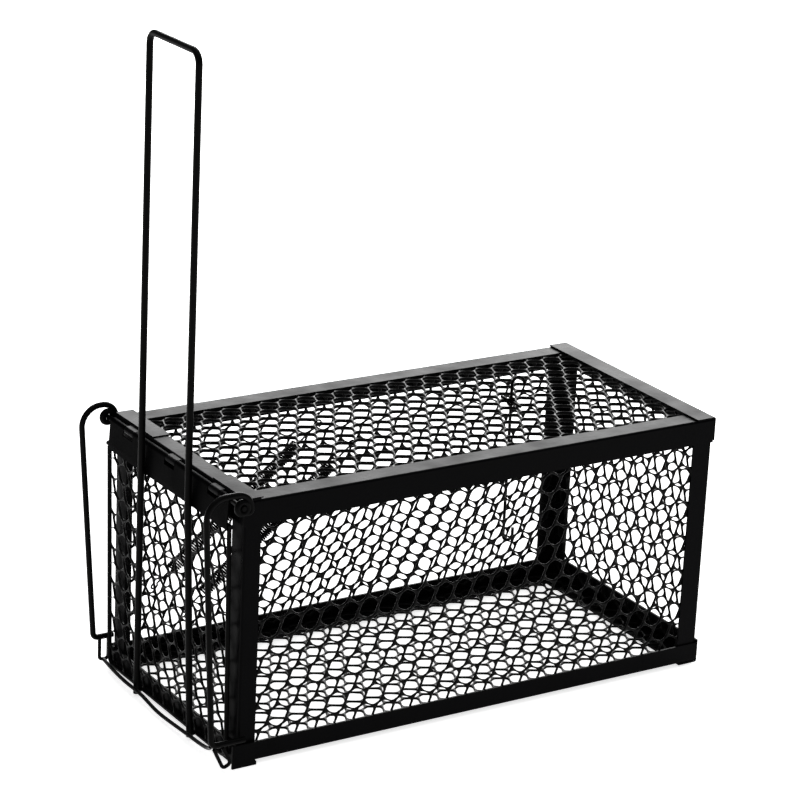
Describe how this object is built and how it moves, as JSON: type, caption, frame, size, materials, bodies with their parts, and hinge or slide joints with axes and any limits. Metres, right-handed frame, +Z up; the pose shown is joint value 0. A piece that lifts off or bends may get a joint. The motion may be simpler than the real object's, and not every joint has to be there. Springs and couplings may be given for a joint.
{
  "type": "live catch trap",
  "caption": "Rectangular wire-mesh cage trap with a spring-closed front door, tall U-shaped setting lever, swinging wire lock and hanging bait trigger.",
  "frame": {"origin": "on the floor, under the middle of the whole trap's bounding box", "axes": "+Z up, X along the cage with the door at -X, Y across it; the cage is even about Y = 0"},
  "size_m": [0.2598, 0.1238, 0.2986],
  "materials": {
    "strip": "gloss",
    "mesh": "gloss",
    "rod": "satin",
    "wire": "satin",
    "spring": "satin"
  },
  "bodies": {
    "cage": {"top_strip_near": "strip", "top_strip_far": "strip", "bottom_strip_near": "strip", "bottom_strip_far": "strip", "post_front_near": "strip", "post_front_far": "strip", "post_rear_near": "strip", "post_rear_far": "strip", "rear_top_strip": "strip", "rear_bottom_strip": "strip", "front_header": "strip", "front_sill": "strip", "top_mesh": "mesh", "floor_mesh": "mesh", "side_mesh_near": "mesh", "side_mesh_far": "mesh", "rear_mesh": "mesh", "hinge_rod": "rod", "trigger_pin": "wire"},
    "door": {"door_leaf": "strip", "door_mesh": "mesh", "door_top_rod": "rod", "door_edge_rod": "rod", "lever": "rod", "lever_welds": "rod"},
    "lock_bail": {"lock_arm_near": "wire", "lock_arm_far": "wire", "lock_stirrup_near": "wire", "lock_stirrup_far": "wire", "cross_wire": "wire"},
    "trigger": {"trigger": "wire"},
    "spring_near": {"spring_near": "spring"},
    "spring_hook_near": {"spring_hook_near": "spring"},
    "spring_far": {"spring_far": "spring"},
    "spring_hook_far": {"spring_hook_far": "spring"}
  },
  "joints": [
    {"name": "door_hinge", "type": "hinge", "parent": "cage", "child": "door", "pos_m": [-0.11207, 0, 0.1176], "axis": [0, 1, 0], "range_deg": [0, 90], "stiffness_Nm_per_rad": 0.03, "springref_deg": -34.38},
    {"name": "bail_pivot", "type": "hinge", "parent": "door", "child": "lock_bail", "pos_m": [-0.11207, 0, 0.1176], "axis": [0, 1, 0], "range_deg": [0, 75]},
    {"name": "trigger_pivot", "type": "hinge", "parent": "cage", "child": "trigger", "pos_m": [0.05893, 0, 0.1187], "axis": [0, 1, 0], "range_deg": [-20, 20]},
    {"name": "spring_swing_near", "type": "hinge", "parent": "cage", "child": "spring_near", "pos_m": [-0.03282, -0.01425, 0.1176], "axis": [0, 1, 0], "range_deg": [0, 38.2], "deforming": ["spring_near"]},
    {"name": "spring_stretch_near", "type": "slide", "parent": "spring_near", "child": "spring_hook_near", "axis": [-0.7865, 0, -0.6176], "range_m": [0, 0.04072], "deforming": ["spring_hook_near"]},
    {"name": "spring_swing_far", "type": "hinge", "parent": "cage", "child": "spring_far", "pos_m": [-0.03282, 0.01425, 0.1176], "axis": [0, 1, 0], "range_deg": [0, 38.2], "deforming": ["spring_far"]},
    {"name": "spring_stretch_far", "type": "slide", "parent": "spring_far", "child": "spring_hook_far", "axis": [-0.7865, 0, -0.6176], "range_m": [0, 0.04072], "deforming": ["spring_hook_far"]}
  ],
  "couplings": [
    {"joint": "spring_swing_near", "follows": "door_hinge", "ratio": 0.42393},
    {"joint": "spring_stretch_near", "follows": "door_hinge", "m_per_rad": 0.025912},
    {"joint": "spring_swing_far", "follows": "door_hinge", "ratio": 0.42393},
    {"joint": "spring_stretch_far", "follows": "door_hinge", "m_per_rad": 0.025912}
  ]
}
